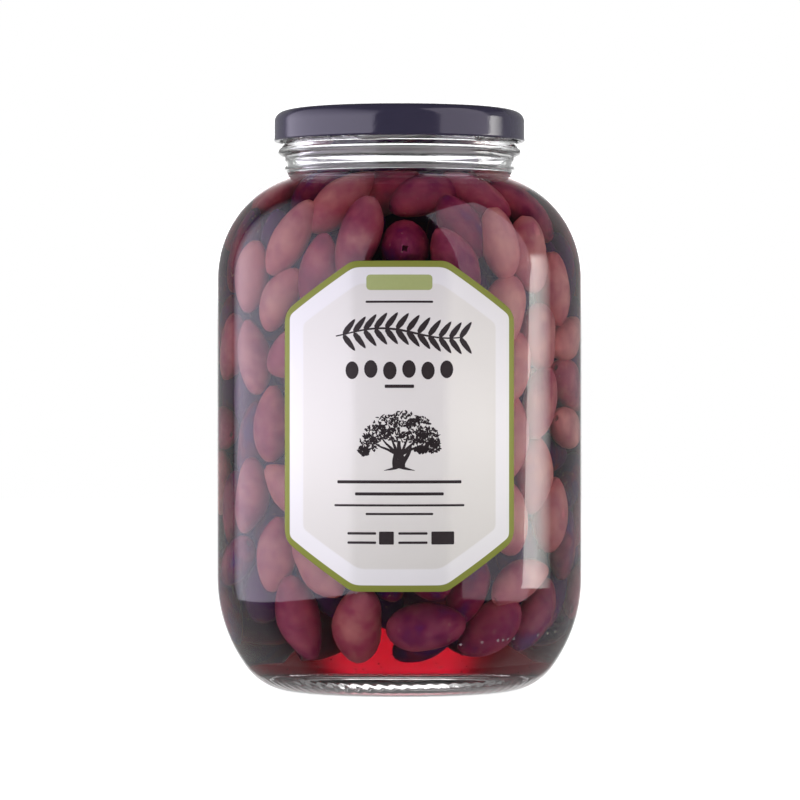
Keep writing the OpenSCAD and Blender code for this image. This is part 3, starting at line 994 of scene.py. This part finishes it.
darkInk = Finish("darkInk", Roughness=0.55, Specular_IOR_Level=0.3)
darkInk.clouded(800, 2, (0.022, 0.016, 0.016), (0.035, 0.027, 0.026))
finishPiece(ink, darkInk.material, "label")
greenInk = Finish("greenInk", Roughness=0.5, Specular_IOR_Level=0.35)
greenInk.clouded(800, 2, (0.33, 0.385, 0.14), (0.36, 0.415, 0.155))
finishPiece(plaque, greenInk.material, "label")
print("print", len(ink.data.polygons))

# floor, light and camera

# each softbox: azimuth from the camera's side to the right, half its angle, radiance, foot, top, how far
# the top leans in, the shares of its height and width over which it fades out, tint
studio = dict(distance=0.75, floorGlow=(0.25, 0.95), overhead=0.8, overheadSize=0.8,
              left=(-75.5, 50.5, 2.5, -0.13, 1.15, 0.20, 0.75, 0.15, (0.95, 0.89, 1.07)),
              right=(62.3, 23.7, 1.45, -0.13, 1.15, 0.29, 0.02, 0.02, (0.99, 0.91, 1.05)),
              strip=(88.8, 19.2, 7.4, -0.03, 0.36, 0.0, 0.16, 0.45, (1.0, 0.98, 0.95)))

clearSelection()
bpy.ops.mesh.primitive_plane_add(size=6, location=(0, 0, -0.00005))
floor = bpy.context.object
floor.name = floor.data.name = "floor"
bpy.ops.object.transform_apply(location=True)
floorLook = Finish("paleFloor", Roughness=0.9, Specular_IOR_Level=0.0)
floorLook.shader.inputs["Emission Color"].default_value = (1, 1, 1, 1)
# seen directly or through the glass it glows; as a light on the olives it is dim
seen = floorLook.node("ShaderNodeLightPath", output="Diffuse Depth") < 0.5
dim, bright = studio["floorGlow"]
floorLook.feed("Emission Strength", dim + seen * (bright - dim))
floorLook.clouded(3, 2, (0.86, 0.86, 0.86), (0.9, 0.9, 0.9))
floor.data.materials.append(floorLook.material)
floor.visible_glossy = False


def panel(name, azimuth, half, radiance, foot, top, lean, fadeUp, fadeAcross, tint):
    # a softbox as a glowing sheet that the camera itself doesn't see
    width = 2 * studio["distance"] * math.tan(math.radians(half))
    clearSelection()
    bpy.ops.mesh.primitive_plane_add(size=1)
    sheet = bpy.context.object
    sheet.name = sheet.data.name = name
    out, side = outAndAcross(azimuth)
    placed = [out * (studio["distance"] - lean * (y + 0.5)) + side * width * x
              + (0, 0, foot + (top - foot) * (y + 0.5)) for x, y, _ in readPoints(sheet)]
    writePoints(sheet, np.array(placed))
    glow = Finish(name)
    across, up = glow.split("UVMap")
    outer = 1 - across if azimuth > 0 else across          # 0 at the edge away from the camera
    level = (1 - up).rise(0.0, fadeUp) * outer.rise(0.0, fadeAcross) * radiance
    lit = glow.tree.nodes.new("ShaderNodeEmission")
    lit.inputs["Color"].default_value = (*tint, 1)
    glow.tree.links.new(level.socket, lit.inputs["Strength"])
    glow.tree.links.new(lit.outputs[0], glow.output.inputs["Surface"])
    sheet.data.materials.append(glow.material)
    sheet.visible_camera = False


panel("leftPanel", *studio["left"])
panel("rightPanel", *studio["right"])
panel("rightStrip", *studio["strip"])
light = bpy.data.lights.new("overheadPanel", "AREA")
light.size = studio["overheadSize"]
light.energy = studio["overhead"] * math.pi * studio["overheadSize"] * studio["overheadSize"]
lamp = bpy.data.objects.new("overheadPanel", light)
lamp.location = (0, -0.1, 1.35)
lamp.visible_camera = False
lamp.visible_glossy = False
bpy.context.collection.objects.link(lamp)

# the room's light: in front, all behind, its middle, low behind the neck, and the fill inside the glass
room = dict(front=0.05, behind=0.30, middle=0.65, neck=2.7, fill=1.05, fillSides=0.9, fillRight=0.3)

world = bpy.data.worlds.new("studio")
bpy.context.scene.world = world
world.use_nodes = True
nodes, links = world.node_tree.nodes, world.node_tree.links
nodes.clear()
output = nodes.new("ShaderNodeOutputWorld")
background = nodes.new("ShaderNodeBackground")
links.new(background.outputs[0], output.inputs[0])
way = nodes.new("ShaderNodeTexCoord")
parts = nodes.new("ShaderNodeSeparateXYZ")
links.new(way.outputs["Generated"], parts.inputs[0])
# for all but the camera's own rays: a white backdrop behind the jar, a dimmer room beside it, dark in front
across = Wire(world.node_tree, parts.outputs[0])
back = Wire(world.node_tree, parts.outputs[1])
rise = Wire(world.node_tree, parts.outputs[2])
behind = back.rise(0.0, 0.25) * (1 - rise.rise(0.42, 0.58))
lit = room["front"] + behind * room["behind"] + behind * room["middle"] * (1 - abs(across).rise(0.20, 0.30))
# a brighter low band right behind the neck
neckGlow = rise.rise(0.015, 0.05) * (1 - rise.rise(0.3, 0.42)) * (1 - abs(across).rise(0.14, 0.24))
lit = lit + room["neck"] * behind * neckGlow
# and a soft fill that reaches only what stands inside the glass
ray = nodes.new("ShaderNodeLightPath")
inJar = Wire(world.node_tree, ray.outputs["Transmission Depth"]) > 2.5
inJar = inJar * (Wire(world.node_tree, ray.outputs["Diffuse Depth"]) > 0.5)
softFill = room["fill"] + abs(across) * room["fillSides"] + across * room["fillRight"]
softFill = softFill * rise.rise(-0.2, 0.1)
lit = lit + softFill * inJar * (1 - back.rise(0.2, 0.5))
fade = nodes.new("ShaderNodeCombineColor")
for socket in fade.inputs:
    links.new(lit.socket, socket)
choose = nodes.new("ShaderNodeMix")
choose.data_type = "RGBA"
links.new(ray.outputs["Is Camera Ray"], choose.inputs[0])
links.new(fade.outputs[0], choose.inputs[6])
choose.inputs[7].default_value = (1, 1, 1, 1)
links.new(choose.outputs[2], background.inputs[0])

view = dict(distance=1.537, height=0.0972, lens=205, shift=0.0025)
cameraData = bpy.data.cameras.new("camera")
cameraData.lens = view["lens"]
cameraData.sensor_width = 36
cameraData.shift_y = view["shift"]
camera = bpy.data.objects.new("camera", cameraData)
camera.location = (0.0002, -view["distance"], view["height"])
camera.rotation_euler = (math.radians(90), 0, 0)
bpy.context.collection.objects.link(camera)
scene = bpy.context.scene
scene.camera = camera
scene.view_settings.view_transform = "Standard"
scene.cycles.use_denoising = True
scene.cycles.max_bounces = 32
scene.cycles.transmission_bounces = 32
scene.cycles.glossy_bounces = 10
scene.cycles.diffuse_bounces = 4
scene.cycles.transparent_max_bounces = 16
scene.cycles.caustics_reflective = True
scene.cycles.caustics_refractive = True
scene.cycles.sample_clamp_indirect = 12
